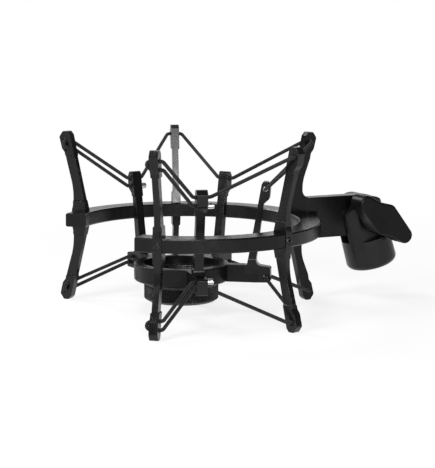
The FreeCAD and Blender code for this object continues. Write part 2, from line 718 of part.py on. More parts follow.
def build_retaining_ring():
    body = new_body("retaining_ring", turned(40, 0, 0, "clip_shelf + 0.3"))
    circles = new_sketch(body, "clip_circles", "XY_Plane")
    draw_circle(circles, "clip_radius")
    draw_circle(circles, "hub_radius - 0.75")
    extrude(body, "Pad", circles, "clip_thickness", False)
    opening = new_sketch(body, "clip_opening", "XY_Plane")
    near, beyond, side = "hub_radius - 4", "clip_radius + 4", "clip_opening / 2"
    draw_outline(opening, [(near, "-(%s)" % side), (beyond, "-(%s)" % side), (beyond, side), (near, side)])
    extrude(body, "Pocket", opening, "4 * clip_thickness")
    return body


# The stand adapter, its clamp bolt and the lever


def at_pivot(tilt=0):
    return turned(tilt, "frame_shift + pivot_reach", 0, "frame_level", axis="0; 1; 0")


def build_stand_adapter():
    body = new_body("stand_adapter", at_pivot("-adapter_tilt"))
    profile = new_sketch(body, "adapter_profile", "XZ_Plane")
    draw_outline(profile, [
        ("stand_thread_radius + 0.8", "-adapter_length"),
        ("adapter_radius", "-adapter_length", "adapter_round"),
        ("adapter_radius", "cheek_radius"),
        (0, "cheek_radius"),
        (0, "-(adapter_length - stand_thread_depth - 2)"),
        ("stand_thread_radius", "-(adapter_length - stand_thread_depth)"),
        ("stand_thread_radius", "0.8 - adapter_length"),
    ])
    spin(body, "Revolution", profile)

    crown = new_sketch(body, "adapter_crown", "XZ_Plane")
    draw_outline(crown, [
        ("cheek_radius", 0),
        ("adapter_radius + 3", 0),
        ("adapter_radius + 3", "cheek_radius + 3"),
        ("-adapter_radius - 3", "cheek_radius + 3"),
        ("-adapter_radius - 3", 0),
        ("-cheek_radius", 0),
        ("-cheek_radius", "cheek_radius", "cheek_radius - 0.2"),
        ("cheek_radius", "cheek_radius", "cheek_radius - 0.2"),
    ])
    extrude(body, "Pocket", crown, "2 * adapter_radius + 2")

    flats = new_sketch(body, "cheek_flats", "YZ_Plane")
    for side in ("1", "-1"):
        inner = "%s * cheek_flat" % side
        outer = "%s * (adapter_radius + 2)" % side
        draw_outline(flats, [
            (inner, "-slot_depth"),
            (outer, "-slot_depth"),
            (outer, "cheek_radius + 2"),
            (inner, "cheek_radius + 2"),
        ])
    extrude(body, "Pocket", flats, "2 * adapter_radius + 2")

    slot = new_sketch(body, "tongue_slot", "YZ_Plane")
    wide = "arm_thickness / 2 + washer_clearance + washer_thickness + 0.02"
    draw_outline(slot, [
        ("-(%s)" % wide, "-slot_depth"),
        (wide, "-slot_depth"),
        (wide, "cheek_radius + 2"),
        ("-(%s)" % wide, "cheek_radius + 2"),
    ])
    extrude(body, "Pocket", slot, "2 * adapter_radius + 2")

    bore = new_sketch(body, "clamp_bore", "XZ_Plane")
    draw_circle(bore, "bolt_radius + bolt_clearance")
    extrude(body, "Pocket", bore, "2 * adapter_radius + 2")

    recess = new_sketch(body, "bolt_recess", "XZ_Plane",
                        "placement(vector(0; 0; %s); rotation(vector(0; 0; 1); 0))"
                        % bound("bolt_recess - cheek_flat"))
    reach = "((bolt_head_flats + 0.3) / 2 / cos(30))"
    draw_outline(recess, [polar(reach, 60 * i) for i in range(6)])
    extrude(body, "Pocket", recess, "bolt_recess + 5", False)
    return body


def build_friction_washer(name, side):
    """A thin disc between the arm and one cheek."""
    body = new_body(name, at_pivot("-adapter_tilt"))
    near = "arm_thickness / 2 + washer_clearance"
    middle = "%s * (%s + washer_thickness / 2)" % (side, near)
    disc = new_sketch(body, name + "_disc", "XZ_Plane",
                      "placement(vector(0; 0; %s); rotation(vector(0; 0; 1); 0))" % bound(middle))
    draw_circle(disc, "washer_radius")
    draw_circle(disc, "bolt_radius + 0.3")
    extrude(body, "Pad", disc, "washer_thickness")
    return body


def build_clamp_bolt():
    body = new_body("clamp_bolt", at_pivot("-adapter_tilt"))
    underside = "-(cheek_flat - bolt_recess + 0.02)"
    head = new_sketch(body, "bolt_head", "XZ_Plane",
                      "placement(vector(0; 0; %s); rotation(vector(0; 0; 1); 0))" % bound(underside))
    draw_outline(head, [polar("(bolt_head_flats / 2 / cos(30))", 60 * i) for i in range(6)])
    extrude(body, "Pad", head, "bolt_head_height", False, True)
    shank = new_sketch(body, "bolt_shank", "XZ_Plane",
                       "placement(vector(0; 0; %s); rotation(vector(0; 0; 1); 0))" % bound(underside))
    draw_circle(shank, "bolt_radius")
    extrude(body, "Pad", shank, "cheek_flat - bolt_recess + bolt_end", False)
    return body


def build_lever_washer():
    body = new_body("lever_washer", at_pivot())
    disc = new_sketch(body, "lever_washer_disc", "XZ_Plane",
                      "placement(vector(0; 0; %s); rotation(vector(0; 0; 1); 0))" % bound("cheek_flat + 0.1"))
    draw_circle(disc, "lever_hub_radius - 0.3")
    draw_circle(disc, "bolt_radius + 0.3")
    extrude(body, "Pad", disc, "lever_washer_thickness", False)
    return body


def build_clamp_lever():
    body = new_body("clamp_lever", at_pivot())
    lobe = [
        (-18.8, 10.0, 4.3),
        (-14.0, 15.6, 4.3),
        (-4.2, 10.1, 10),
        (4.6, 8.2, 5),
    ]
    corners = lobe + [(-x, -y, radius) for x, y, radius in lobe]
    wings = new_sketch(body, "lever_wings", "XZ_Plane",
                       "placement(vector(0; 0; %s); rotation(vector(0; 0; 1); 0))" % bound("wing_back"))
    draw_outline(wings, corners[::-1])
    extrude(body, "Pad", wings, "lever_depth", False)
    doc.recompute()

    face = -value("wing_back + lever_depth")
    front = [
        "Edge%d" % (i + 1)
        for i, edge in enumerate(body.Shape.Edges)
        if all(abs(vertex.Point.y - face) < 0.01 for vertex in edge.Vertexes)
    ]
    plain = body.Tip
    rounding = body.newObject("PartDesign::Fillet", "lever_edge")
    rounding.Base = (plain, front)
    rounding.setExpression("Radius", bound("lever_round"))
    body.Tip = rounding

    base = "cheek_flat + 0.1 + lever_washer_thickness"
    hub = new_sketch(body, "lever_hub", "XZ_Plane",
                     "placement(vector(0; 0; %s); rotation(vector(0; 0; 1); 0))" % bound(base))
    draw_circle(hub, "lever_hub_radius")
    extrude(body, "Pad", hub, "wing_back - (%s) + 0.5" % base, False)
    bore = new_sketch(body, "lever_bore", "XZ_Plane",
                      "placement(vector(0; 0; %s); rotation(vector(0; 0; 1); 0))" % bound(base))
    draw_circle(bore, "insert_radius + 0.02")
    extrude(body, "Pocket", bore, "bolt_end + 1.5 - (%s)" % base, False, True)
    return body


def build_lever_insert():
    """The threaded bush that is moulded into the lever."""
    body = new_body("lever_insert", at_pivot())
    base = "cheek_flat + 0.1 + lever_washer_thickness"
    bush = new_sketch(body, "insert_circles", "XZ_Plane",
                      "placement(vector(0; 0; %s); rotation(vector(0; 0; 1); 0))" % bound(base))
    draw_circle(bush, "insert_radius")
    draw_circle(bush, "bolt_radius + 0.05")
    extrude(body, "Pad", bush, "bolt_end + 0.8 - (%s)" % base, False)
    return body


# The elastic cords and the stops on their ends


def outer_spot(angle, level, reach):
    """A point of an outer post, and the way that the cord crosses it."""
    turn = math.radians(value(angle))
    shift = value("frame_shift")
    spot = Vector(shift + value(reach) * math.cos(turn), value(reach) * math.sin(turn), value(level))
    return spot, Vector(math.sin(turn), -math.cos(turn), 0)


def inner_spot(angle, level, reach):
    turn = math.radians(value(angle))
    spot = Vector(value(reach) * math.cos(turn), value(reach) * math.sin(turn), value(level))
    return spot, Vector(math.sin(turn), -math.cos(turn), 0)


def cord_route(sign, length, pass_reach, pass_level, end_reach, end_level):
    """The corners of one cord's route, from stop to stop."""
    first = "frame_level + %s * (%s - cord_drop)" % (sign, length)
    second = "frame_level + %s * (%s - cord_drop - cord_pitch)" % (sign, length)
    outer_clear = value("post_width / 2 + cord_radius") + 0.6
    inner_clear = value("stalk_width / 2 + cord_radius") + 0.4
    loop = value("post_width / 2 + cord_pitch / 2") + 0.4
    stop_end = value("stalk_width / 2 + stop_length") - 0.8
    route = []

    def cross(spot, way, before, after):
        route.append(spot - way * before)
        route.append(spot + way * after)

    rear, way = inner_spot(REAR_END, end_level, end_reach)
    cross(rear, -way, stop_end, inner_clear)
    low, way = outer_spot("end_post_angle", second, "cord_reach - cord_lean")
    cross(low, -way, outer_clear, loop)
    high, way = outer_spot("end_post_angle", first, "cord_reach")
    cross(high, way, loop, outer_clear)
    stations = [(REAR_END, "side_post_angle", "0"), (REAR_SIDE, "0", "arm_post_inset"),
                (FRONT_SIDE, "-side_post_angle", "0")]
    for inner, outer, inset in stations:
        cross(*inner_spot(inner, pass_level, pass_reach), inner_clear, inner_clear)
        cross(*outer_spot(outer, first, "cord_reach - " + inset), outer_clear, outer_clear)
    cross(*inner_spot(FRONT_END, pass_level, pass_reach), inner_clear, inner_clear)
    high, way = outer_spot("-end_post_angle", first, "cord_reach")
    cross(high, way, outer_clear, loop)
    low, way = outer_spot("-end_post_angle", second, "cord_reach - cord_lean")
    cross(low, -way, loop, outer_clear)
    front, way = inner_spot(FRONT_END, end_level, end_reach)
    cross(front, -way, inner_clear, stop_end)
    return route


def rounded_wire(corners, radius, loop_radius):
    """Straight runs joined by tangent arcs; a loop's two corners take the loop's own radius."""
    edges = []
    start = corners[0]
    length = 0
    tightest = FAR
    for i in range(1, len(corners) - 1):
        before, corner, after = corners[i - 1], corners[i], corners[i + 1]
        back = (before - corner).normalize()
        ahead = (after - corner).normalize()
        half = back.getAngle(ahead) / 2
        short = min((before - corner).Length, (after - corner).Length)
        looped = short < 2 * loop_radius + 0.5
        bend = min(loop_radius if looped else radius, 0.499 * short * math.tan(half))
        reach = bend / math.tan(half)
        meet = corner + back * reach
        leave = corner + ahead * reach
        centre = corner + (back + ahead).normalize() * (bend / math.sin(half))
        middle = centre + (corner - centre).normalize() * bend
        edges.append(Part.LineSegment(start, meet).toShape())
        edges.append(Part.Arc(meet, middle, leave).toShape())
        start = leave
        tightest = min(tightest, bend)
    edges.append(Part.LineSegment(start, corners[-1]).toShape())
    return Part.Wire(edges), tightest


def build_cord(name, route):
    wire, tightest = rounded_wire(route, 2 * value("cord_radius"), value("cord_pitch") / 2 - 0.05)
    way = (route[1] - route[0]).normalize()
    ring = Part.Wire([Part.Circle(route[0], way, value("cord_radius")).toShape()])
    tube = wire.makePipeShell([ring], True, True)
    section = math.pi * value("cord_radius") ** 2
    print("%s: length %.1f mm, volume / (section x length) %.4f, tightest arc %.2f mm"
          % (name, wire.Length, tube.Volume / (section * wire.Length), tightest))
    cord = doc.addObject("Part::Feature", name)
    cord.Label = name
    cord.Shape = tube
    return cord


def build_cord_stop(name, angle, level, reach, side):
    """A crimped metal cup on the end of a cord, against an inner post."""
    x, y = polar(reach, angle)
    gap = "(stalk_width / 2 + 0.1)"
    placement = "placement(vector(%s; %s; %s); rotation(vector(0; 0; 1); %s) * rotation(vector(1; 0; 0); %s))" % (
        bound("%s + %s * %s * sin(%s)" % (x, side, gap, angle)),
        bound("%s - %s * %s * cos(%s)" % (y, side, gap, angle)),
        bound(level), bound(angle), 90 if side == "1" else -90)
    body = new_body(name, placement)
    cup = new_sketch(body, name + "_profile", "XZ_Plane")
    draw_outline(cup, [
        ("cord_radius + 0.06", 0),
        ("stop_radius", 0, 0.2),
        ("stop_radius", "stop_length", 0.5),
        (0, "stop_length"),
        (0, "stop_length - 0.6"),
        ("cord_radius + 0.06", "stop_length - 0.6"),
    ])
    spin(body, "Revolution", cup)
    return body


def main():
    nodes = [build_frame()]
    nodes += [build_outer_post(name, angle) for name, angle in OUTER_POSTS]
    nodes.append(build_post_screws())
    nodes.append(build_basket_ring())
    nodes += [build_inner_post(name, angle) for name, angle in INNER_POSTS]
    nodes.append(build_foot_screws())
    nodes.append(build_ring_nut())
    nodes.append(build_retaining_ring())
    nodes.append(build_stand_adapter())
    nodes.append(build_friction_washer("friction_washer_near", "1"))
    nodes.append(build_friction_washer("friction_washer_far", "-1"))
    nodes.append(build_clamp_bolt())
    nodes.append(build_lever_washer())
    nodes.append(build_clamp_lever())
    nodes.append(build_lever_insert())
    upper = ("upper_end_level", "upper_end_reach")
    lower = ("lower_end_level", "lower_end_reach")
    nodes.append(build_cord_stop("upper_cord_stop_rear", REAR_END, *upper, "1"))
    nodes.append(build_cord_stop("upper_cord_stop_front", FRONT_END, *upper, "-1"))
    nodes.append(build_cord_stop("lower_cord_stop_rear", REAR_END, *lower, "1"))
    nodes.append(build_cord_stop("lower_cord_stop_front", FRONT_END, *lower, "-1"))
    doc.recompute()
    nodes.append(build_cord("upper_cord", cord_route(
        "1", "post_rise", "upper_pass_reach", "upper_pass_level", "upper_end_reach", "upper_end_level")))
    nodes.append(build_cord("lower_cord", cord_route(
        "-1", "post_drop", "lower_pass_reach", "lower_pass_level", "lower_end_reach", "lower_end_level")))
    doc.recompute()
    write(nodes)


def write(nodes):
    """Check every object of the document, then write one STEP file for each node."""
    failed = [
        "%s (%s)" % (item.Label, item.getStatusString())
        for item in doc.Objects if "Invalid" in item.State or "Error" in item.State
    ]
    failed += [node.Label for node in nodes if node.Shape.isNull() or not node.Shape.isValid()]
    if failed:
        raise RuntimeError("no valid result: " + ", ".join(failed))
    os.makedirs("parts", exist_ok=True)
    for node in nodes:
        node.Shape.exportStep(os.path.join("parts", node.Label + ".step"))
        box = node.Shape.BoundBox
        print("%-24s solids %d  volume %9.1f  x %.1f %.1f  y %.1f %.1f  z %.1f %.1f"
              % (node.Label, len(node.Shape.Solids), node.Shape.Volume,
                 box.XMin, box.XMax, box.YMin, box.YMax, box.ZMin, box.ZMax))


main()
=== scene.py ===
# %% [markdown]
# # Microphone shock mount
#
# The real object is a black cast horseshoe on a clamp arm. Five posts stand on the horseshoe and four
# stand on a small basket, and two elastic cords lace the basket to the horseshoe, one above and one
# below. The construction model already holds every rigid piece at its true place. This lesson gives those
# pieces their finish, softens their edges, and makes what a construction model leaves plain: the braided
# cords, the knurled rim and the screw threads.

import json
import math

import bmesh
import bpy
from mathutils import Matrix, Quaternion, Vector


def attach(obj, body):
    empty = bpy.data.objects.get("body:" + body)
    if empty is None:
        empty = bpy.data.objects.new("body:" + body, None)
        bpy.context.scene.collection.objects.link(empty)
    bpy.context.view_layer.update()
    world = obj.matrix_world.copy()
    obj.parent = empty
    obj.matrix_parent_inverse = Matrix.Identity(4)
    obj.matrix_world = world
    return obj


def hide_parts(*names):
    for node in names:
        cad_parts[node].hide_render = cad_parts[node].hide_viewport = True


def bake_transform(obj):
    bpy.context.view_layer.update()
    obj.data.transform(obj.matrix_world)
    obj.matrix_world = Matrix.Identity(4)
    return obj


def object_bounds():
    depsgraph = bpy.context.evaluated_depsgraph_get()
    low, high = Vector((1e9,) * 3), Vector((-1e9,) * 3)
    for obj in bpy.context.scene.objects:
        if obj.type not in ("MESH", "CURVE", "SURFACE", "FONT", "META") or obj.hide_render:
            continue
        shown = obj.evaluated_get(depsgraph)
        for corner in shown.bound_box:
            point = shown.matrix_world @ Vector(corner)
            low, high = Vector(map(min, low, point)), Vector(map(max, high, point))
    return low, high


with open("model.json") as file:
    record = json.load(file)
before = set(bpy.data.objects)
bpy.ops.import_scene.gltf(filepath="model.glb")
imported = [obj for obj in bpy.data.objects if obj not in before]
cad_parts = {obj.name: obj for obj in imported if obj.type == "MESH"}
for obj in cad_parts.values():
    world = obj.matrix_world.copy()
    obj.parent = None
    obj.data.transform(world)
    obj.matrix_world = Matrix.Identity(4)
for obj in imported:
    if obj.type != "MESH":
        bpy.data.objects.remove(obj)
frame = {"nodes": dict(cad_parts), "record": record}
cad_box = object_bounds()
nodes = frame["nodes"]
MM = 0.001

overall = [round(size / MM, 1) for size in cad_box[1] - cad_box[0]]
print("construction model:", len(nodes), "pieces,", overall, "mm")

# %% [markdown]
# ## The camera
#
# The photograph was taken from a little left of the side and a little above, with a long lens. A camera
# is easiest to place by the point that it looks at, its azimuth, its elevation and its distance. The
# object isn't in the middle of the picture, so a small lens shift moves the picture without turning the
# camera. The photographer's camera leant by a quarter of a degree, and so does this one.

# %% Camera
LOOK_AT = Vector((3.4, 0.0, 24.0)) * MM
CAMERA_AZIMUTH = math.radians(-26.06)
CAMERA_ELEVATION = math.radians(8.7)
CAMERA_LEAN = math.radians(0.27)
CAMERA_DISTANCE = 0.8328
PHOTO_WIDTH = 435
PHOTO_HEIGHT = 468
FOCAL_PIXELS = 1514
TARGET_PIXEL = (187.1, 225.6)
SENSOR = 36.0


def camera_direction():
    """From the point looked at towards the camera."""
    flat = math.cos(CAMERA_ELEVATION)
    return Vector((
        math.sin(CAMERA_AZIMUTH) * flat,
        -math.cos(CAMERA_AZIMUTH) * flat,
        math.sin(CAMERA_ELEVATION),
    ))


camera_data = bpy.data.cameras.new("photo_camera")
camera_data.sensor_fit = "HORIZONTAL"
camera_data.sensor_width = SENSOR
camera_data.lens = FOCAL_PIXELS * SENSOR / PHOTO_WIDTH
camera_data.shift_x = (PHOTO_WIDTH / 2 - TARGET_PIXEL[0]) / PHOTO_WIDTH
camera_data.shift_y = (TARGET_PIXEL[1] - PHOTO_HEIGHT / 2) / PHOTO_WIDTH
camera_data.clip_start = 0.01
camera = bpy.data.objects.new("photo_camera", camera_data)
bpy.context.scene.collection.objects.link(camera)
camera.location = LOOK_AT + camera_direction() * CAMERA_DISTANCE
upright = camera_direction().to_track_quat("Z", "Y")
camera.rotation_euler = (upright @ Quaternion((0, 0, 1), CAMERA_LEAN)).to_euler()
bpy.context.scene.camera = camera
bpy.context.scene.view_settings.view_transform = "Standard"
print("lens", round(camera_data.lens, 1), "mm")

# %% [markdown]
# ## A first finish: the satin black coating
#
# Nearly everything is cast metal under one coat of satin black. Black isn't one flat colour: the coating
# is slightly mottled, its gloss wanders, and it has a grain finer than a quarter of a millimetre. Each
# finish below starts from one helper that makes a Principled shader and gives back a place to add nodes.
# Patterns read Object coordinates, so that they lie still on the piece however it moves.

# %% Helpers for finishes


class Finish:
    """A material under construction: one Principled shader, and short ways to add and join nodes."""

    def __init__(self, name, colour, roughness, metallic=0.0):
        self.material = bpy.data.materials.new(name)
        self.material.use_nodes = True
        self.tree = self.material.node_tree
        self.shader = self.tree.nodes["Principled BSDF"]
        self.shader.inputs["Base Color"].default_value = (*colour, 1.0)
        self.shader.inputs["Roughness"].default_value = roughness
        self.shader.inputs["Metallic"].default_value = metallic

    def node(self, kind, **settings):
        made = self.tree.nodes.new(kind)
        for key, value in settings.items():
            setattr(made, key, value)
        return made

    def join(self, source, target):
        self.tree.links.new(source, target)

    def math(self, operation, first, second=0.0):
        """A Math node; each input is a socket or a number."""
        made = self.node("ShaderNodeMath", operation=operation)
        for socket, value in zip(made.inputs, (first, second)):
            if isinstance(value, bpy.types.NodeSocket):
                self.join(value, socket)
            else:
                socket.default_value = value
        return made.outputs[0]

    def noise(self, scale, detail=2.0, stretch=(1, 1, 1)):
        """Noise on Object coordinates; scale is cycles in a metre."""
        place = self.node("ShaderNodeTexCoord")
        mapping = self.node("ShaderNodeMapping")
        mapping.inputs["Scale"].default_value = stretch
        noise = self.node("ShaderNodeTexNoise")
        noise.inputs["Scale"].default_value = scale
        noise.inputs["Detail"].default_value = detail
        self.join(place.outputs["Object"], mapping.inputs["Vector"])
        self.join(mapping.outputs[0], noise.inputs["Vector"])
        return noise.outputs["Fac"]

    def ramp(self, factor, low, high, start=0.3, end=0.7):
        """A colour between low and high as the factor goes from start to end."""
        ramp = self.node("ShaderNodeValToRGB")
        ramp.color_ramp.elements[0].position = start
        ramp.color_ramp.elements[1].position = end
        ramp.color_ramp.elements[0].color = (*low, 1.0)
        ramp.color_ramp.elements[1].color = (*high, 1.0)
        self.join(factor, ramp.inputs["Fac"])
        return ramp.outputs["Color"]

    def range(self, factor, low, high, start=0.3, end=0.7):
        scaled = self.node("ShaderNodeMapRange")
        self.join(factor, scaled.inputs["Value"])
        for name, value in (("From Min", start), ("From Max", end), ("To Min", low), ("To Max", high)):
            scaled.inputs[name].default_value = value
        return scaled.outputs["Result"]

    def bump(self, height, distance, strength=1.0, under=None):
        """A bump of that height in metres, laid over another one if it is given."""
        bump = self.node("ShaderNodeBump")
        bump.inputs["Distance"].default_value = distance
        bump.inputs["Strength"].default_value = strength
        self.join(height, bump.inputs["Height"])
        if under is not None:
            self.join(under, bump.inputs["Normal"])
        self.join(bump.outputs["Normal"], self.shader.inputs["Normal"])
        return bump.outputs["Normal"]


def coated(name, dark, light, roughness, reflection, grain=5200, depth=0.000005):
    """Satin coating over a casting: slight mottling, wandering gloss and a fine grain."""
    finish = Finish(name, dark, roughness)
    finish.shader.inputs["Specular IOR Level"].default_value = reflection
    mottle = finish.noise(95, 3)
    finish.join(finish.ramp(mottle, dark, light), finish.shader.inputs["Base Color"])
    gloss = finish.noise(240, 3)
    finish.join(finish.range(gloss, roughness - 0.05, roughness + 0.06), finish.shader.inputs["Roughness"])
    swell = finish.bump(finish.noise(420, 2), 0.00001, 0.6)
    finish.bump(finish.noise(grain, 2), depth, 0.8, under=swell)
    return finish.material


# %% The coated castings
FRAME_BLACK = coated("frame_black", (0.0028, 0.0028, 0.0030), (0.0048, 0.0048, 0.0051), 0.27, 0.20)
POST_BLACK = coated("post_black", (0.0024, 0.0024, 0.0026), (0.0042, 0.0042, 0.0045), 0.24, 0.30)
BASKET_BLACK = coated("basket_black", (0.0028, 0.0028, 0.0030), (0.0046, 0.0046, 0.0049), 0.30, 0.20)
ADAPTER_BLACK = coated("adapter_black", (0.0040, 0.0040, 0.0042), (0.0066, 0.0066, 0.0070), 0.32, 0.30)
LEVER_BLACK = coated("lever_black", (0.0034, 0.0034, 0.0036), (0.0056, 0.0056, 0.0059), 0.30, 0.12,
                     grain=3600, depth=0.000008)
print("coated finishes:", len(bpy.data.materials))

# %% [markdown]
# ## Turned, drawn and bare finishes
#
# The ring nut was turned before it was blackened, so its rings still show as fine grooves round its axis.
# The screws and the plain washer are blackened steel, the spring clip is bare steel, and the cord stops
# are bright crimped metal. Metal needs metallic at 1 and its look comes from roughness and from tiny
# grooves.

# %% Turned and bare metal


def turned(name, colour, roughness, metallic, axis_turn=(0, 0, 0), centre=(0, 0, 0), pitch=0.00035):
    """Fine rings about an axis through centre, as a lathe leaves them."""
    finish = Finish(name, colour, roughness, metallic)
    place = finish.node("ShaderNodeTexCoord")
    mapping = finish.node("ShaderNodeMapping", vector_type="TEXTURE")
    mapping.inputs["Location"].default_value = centre
    mapping.inputs["Rotation"].default_value = axis_turn
    finish.join(place.outputs["Object"], mapping.inputs["Vector"])
    parts = finish.node("ShaderNodeSeparateXYZ")
    finish.join(mapping.outputs[0], parts.inputs[0])
    across = finish.math("ADD", finish.math("POWER", parts.outputs["X"], 2.0),
                         finish.math("POWER", parts.outputs["Y"], 2.0))
    radius = finish.math("SQRT", across)
    along = finish.math("ADD", radius, parts.outputs["Z"])
    groove = finish.math("SINE", finish.math("MULTIPLY", along, 2 * math.pi / pitch))
    smear = finish.noise(260, 3)
    finish.join(finish.range(smear, roughness - 0.05, roughness + 0.08), finish.shader.inputs["Roughness"])
    finish.bump(groove, 0.000006, 0.6)
    return finish.material


PIVOT = Vector((116.0, 0.0, 24.0)) * MM
QUARTER_TURN = math.radians(90)

NUT_BLACK = turned("nut_black", (0.0045, 0.0045, 0.0048), 0.26, 0.0)
SCREW_BLACK = turned("screw_black", (0.045, 0.045, 0.047), 0.34, 1.0, pitch=0.0002)
CLIP_STEEL = turned("clip_steel", (0.42, 0.42, 0.43), 0.30, 1.0)
STOP_METAL = turned("stop_metal", (0.74, 0.74, 0.75), 0.26, 1.0, pitch=0.0004)
INSERT_BRASS = turned("insert_brass", (0.62, 0.43, 0.18), 0.30, 1.0, (QUARTER_TURN, 0, 0), PIVOT)
WASHER_BLACK = coated("washer_black", (0.016, 0.016, 0.016), (0.022, 0.022, 0.022), 0.5, 0.3)
print("all finishes:", len(bpy.data.materials))

# %% [markdown]
# ## Softened edges
#
# No cast edge is perfectly sharp, and on a black object the edges are what catches the light. The pieces of
# the construction model can't be changed, so each visible one is copied, its loose triangles are merged
# back into faces, and a Bevel modifier rounds every real corner by a fraction of a millimetre. The copy
# then stands for the piece, which is hidden. The angle limit keeps the modifier off the facets of a curved
# wall. The adapter's copy also gets lower cheeks before its corners are rounded, because the photograph
# shows them lower.

# %% Copies with softened edges
FLAT_ANGLE = math.radians(2)
CORNER_ANGLE = math.radians(28)


def softened(name, material, body, width, segments=2, reshape=None):
    """A copy of a construction piece, reshaped if asked, with its corners rounded by width, in metres."""
    mesh = nodes[name].data.copy()
    shape = bmesh.new()
    shape.from_mesh(mesh)
    bmesh.ops.remove_doubles(shape, verts=shape.verts, dist=0.000002)
    bmesh.ops.dissolve_limit(shape, angle_limit=FLAT_ANGLE, verts=shape.verts, edges=shape.edges)
    for face in shape.faces:
        face.smooth = True
    for corner in shape.verts if reshape else []:
        corner.co = reshape(corner.co)
    shape.to_mesh(mesh)
    shape.free()
    mesh.materials.clear()
    mesh.materials.append(material)
    piece = bpy.data.objects.new(name + "_soft", mesh)
    bpy.context.scene.collection.objects.link(piece)
    bevel = piece.modifiers.new("round_corners", "BEVEL")
    bevel.width = width
    bevel.segments = segments
    bevel.limit_method = "ANGLE"
    bevel.angle_limit = CORNER_ANGLE
    bevel.use_clamp_overlap = True
    shade = piece.modifiers.new("even_shading", "WEIGHTED_NORMAL")
    shade.keep_sharp = True
    settled = bpy.data.meshes.new_from_object(piece.evaluated_get(bpy.context.evaluated_depsgraph_get()))
    piece.modifiers.clear()
    piece.data = settled
    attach(piece, body)
    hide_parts(name)
    return piece


CHEEK_RADIUS = 13.8 * MM
LOWERED_CHEEK = 11.6 * MM
CHEEK_EASE = 2.5


def low_cheeks(place):
    """The adapter's cheeks end lower than in the construction model, as the photograph shows them."""
    away = Vector((place.x - PIVOT.x, 0.0, place.z - PIVOT.z))
    if away.z <= 0 or away.length < LOWERED_CHEEK / 2:
        return place
    share = min(1.0, CHEEK_EASE * away.z / away.length)
    limit = CHEEK_RADIUS + (LOWERED_CHEEK - CHEEK_RADIUS) * share
    if away.length <= limit:
        return place
    kept = PIVOT + away.normalized() * limit
    return Vector((kept.x, place.y, kept.z))


OUTER_POSTS = ["outer_post_rear_end", "outer_post_rear_side", "outer_post_front_side", "outer_post_front_end"]
INNER_POSTS = ["inner_post_rear_end", "inner_post_rear_side", "inner_post_front_side", "inner_post_front_end"]

soft_pieces = [softened("horseshoe_frame", FRAME_BLACK, "root", 0.00045)]
soft_pieces += [softened(name, POST_BLACK, "root", 0.00035) for name in OUTER_POSTS]
soft_pieces += [softened(name, POST_BLACK, "basket", 0.00035) for name in INNER_POSTS]
soft_pieces.append(softened("basket_ring", BASKET_BLACK, "basket", 0.0003))
soft_pieces.append(softened("stand_adapter", ADAPTER_BLACK, "adapter", 0.0004,
                            reshape=low_cheeks))
soft_pieces.append(softened("clamp_lever", LEVER_BLACK, "lever", 0.0004))
soft_faces = sum(len(piece.data.polygons) for piece in soft_pieces)
print("softened:", len(soft_pieces), "pieces,", soft_faces, "faces")

# %% Finishes for the pieces that stay as they are
kept_finish = {
    "post_screws": SCREW_BLACK,
    "foot_screws": SCREW_BLACK,
    "clamp_bolt": SCREW_BLACK,
    "ring_nut": NUT_BLACK,
    "retaining_ring": CLIP_STEEL,
    "lever_washer": SCREW_BLACK,
    "lever_insert": INSERT_BRASS,
    "friction_washer_near": WASHER_BLACK,
    "friction_washer_far": WASHER_BLACK,
    "upper_cord_stop_rear": STOP_METAL,
    "upper_cord_stop_front": STOP_METAL,
    "lower_cord_stop_rear": STOP_METAL,
    "lower_cord_stop_front": STOP_METAL,
}
for name, material in kept_finish.items():
    nodes[name].data.materials.clear()
    nodes[name].data.materials.append(material)
print("kept as they are:", len(kept_finish), "pieces")

# %% [markdown]
# ## The elastic cords
#
# Each cord is one length of 2 mm elastic with a braided cover, pulled tight. It starts in a metal stop at
# one end post of the basket, laces from post to post round the whole mount, turns back at the two open
# ends of the horseshoe and ends in a second stop. Its line is a NURBS curve whose points are the places
# where it enters and leaves each hole, with two more points near each end of a long stretch, so that it
# stays straight between posts. A Geometry Nodes tree sweeps the round section and keeps two values for
# the braid: how far along the cord, and where round it.

# %% The cord's route
BAND_SHIFT = 4.9
BAND_LEVEL = 24.0
BASKET_TURN = -1.7
END_POST = 129.3
SIDE_POST = 70.8
END_STALK = 101.3
SIDE_STALK = 33.4
CORD_RADIUS = 1.0
HOLE_REACH = 76.9
ARM_HOLE_REACH = 75.3
UPPER_HOLE = 43.8
LOWER_HOLE = -42.4
HOLE_PITCH = 4.4
HOLE_LEAN = 1.2
OUTER_CLEAR = 4.0
INNER_CLEAR = 4.4
LOOP_CLEAR = 4.2
STOP_DEPTH = 6.0
STRAIGHT_POINT = 12.0


def hole(angle, reach, level, shift=0.0):
    """A hole's centre and the way along it, from the construction model's angles and reaches, in mm."""
    turn = math.radians(angle)
    centre = Vector((shift + reach * math.cos(turn), reach * math.sin(turn), level))
    return centre, Vector((math.sin(turn), -math.cos(turn), 0))


